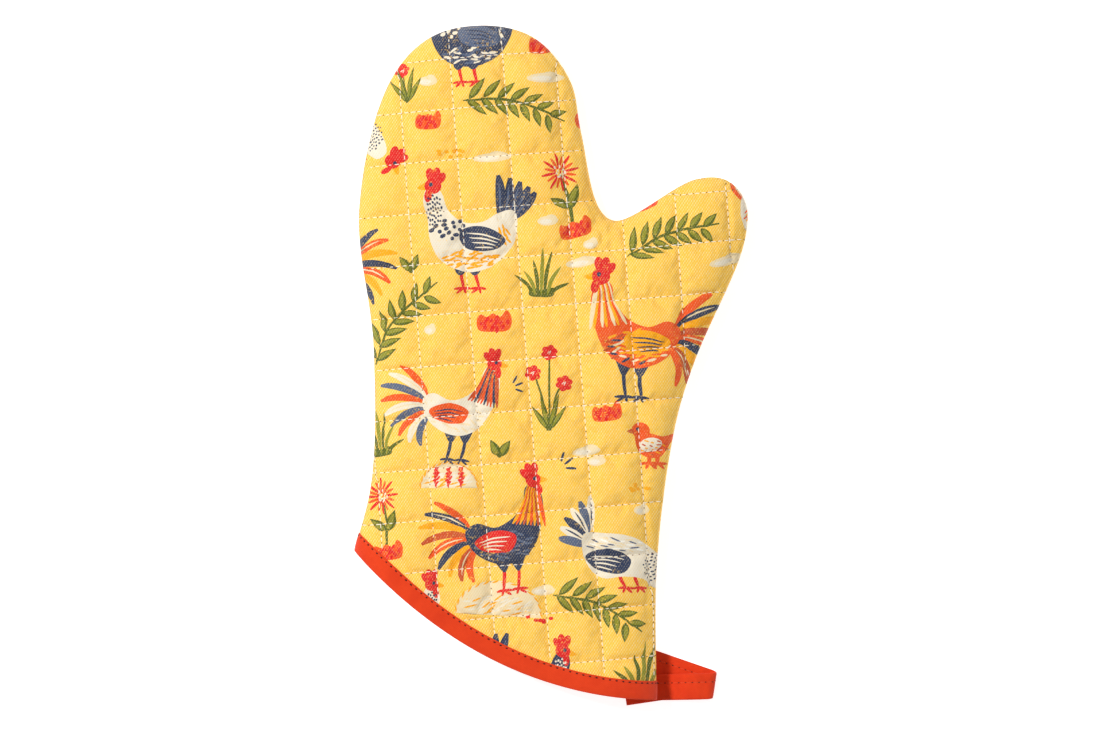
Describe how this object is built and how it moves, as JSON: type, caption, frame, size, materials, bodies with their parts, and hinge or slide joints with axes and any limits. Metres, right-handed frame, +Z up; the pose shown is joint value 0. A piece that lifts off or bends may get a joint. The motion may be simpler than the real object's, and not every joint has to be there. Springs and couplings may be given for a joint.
{
  "type": "oven mitt",
  "caption": "Quilted padded oven mitt with a thumb, a bias-bound slanted cuff and a folded tape hanging loop that lifts at its sewn ends.",
  "frame": {"origin": "centre of the bounding box in plan, on the surface that the mitt lies on", "axes": "+Y from the cuff to the fingertips, +Z up through the thickness, +X towards the thumb"},
  "size_m": [0.1932, 0.3327, 0.0328],
  "materials": {
    "printed_cotton": "matt twill cotton, warm yellow ground with a printed farmyard pattern in navy, orange, green and cream",
    "batting": "soft needled cotton wadding",
    "lining_cotton": "plain natural cotton",
    "binding_cotton": "matt orange-red bias tape",
    "loop_cotton": "matt orange-red folded tape",
    "thread": "cream spun polyester sewing thread",
    "topstitch_thread": "orange-red spun polyester sewing thread"
  },
  "bodies": {
    "mitt": {"front_outer_panel": "printed_cotton", "back_outer_panel": "printed_cotton", "front_batting": "batting", "back_batting": "batting", "front_lining": "lining_cotton", "back_lining": "lining_cotton", "side_seam_thread": "thread", "cuff_binding": "binding_cotton", "binding_topstitch": "topstitch_thread", "loop_tail_near": "loop_cotton", "loop_tail_far": "loop_cotton"},
    "loop": {"hanging_loop": "loop_cotton", "loop_edge_stitch": "topstitch_thread"}
  },
  "joints": [
    {"name": "loop_swing", "type": "hinge", "parent": "mitt", "child": "loop", "pos_m": [0.0534, -0.1584, 0.0028], "axis": [0, -1, 0], "range_deg": [0, 60]}
  ]
}
